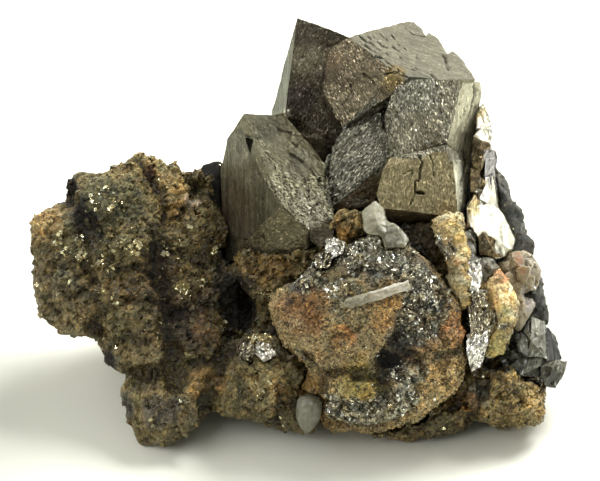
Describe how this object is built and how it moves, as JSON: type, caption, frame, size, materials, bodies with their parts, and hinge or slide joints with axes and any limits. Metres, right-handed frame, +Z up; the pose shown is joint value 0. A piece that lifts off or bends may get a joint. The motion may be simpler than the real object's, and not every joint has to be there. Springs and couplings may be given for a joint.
{
  "type": "arsenopyrite specimen",
  "caption": "Mineral specimen: striated blocky grey arsenopyrite crystals grown on brown siderite matrix with bright pyrite, milky quartz and dark wall rock.",
  "frame": {"origin": "on the surface that the specimen rests on, under the middle of its bounding box", "axes": "+X to the right along the longest side, +Y away from the viewer, +Z up"},
  "size_m": [0.078, 0.0512, 0.0481],
  "materials": {
    "arsenopyrite": "metallic grey, striated",
    "siderite": "dull brown with glittering grains",
    "wall_rock": "matte black rock",
    "crusted_siderite": "rough orange-brown crust with grey sulphide grains",
    "ochre": "matte yellow-brown crust",
    "pyrite": "bright brassy metallic faces",
    "milky_quartz": "translucent milky, glossy",
    "clear_quartz": "clear grey, glossy",
    "dark_sulphide": "dark grey, glossy cleavage faces"
  },
  "bodies": {
    "root": {"arsenopyrite_cluster": "arsenopyrite", "siderite_matrix": "siderite", "host_rock": "wall_rock", "crusted_slab": "crusted_siderite", "ochre_crust": "ochre", "pyrite_cluster": "pyrite", "pyrite_strip": "pyrite", "pyrite_corner": "pyrite", "pyrite_nest": "pyrite", "quartz_cluster": "milky_quartz", "quartz_dome": "milky_quartz", "quartz_point": "milky_quartz", "quartz_tooth": "milky_quartz", "quartz_rod": "clear_quartz", "dark_crystals": "dark_sulphide"}
  },
  "joints": []
}
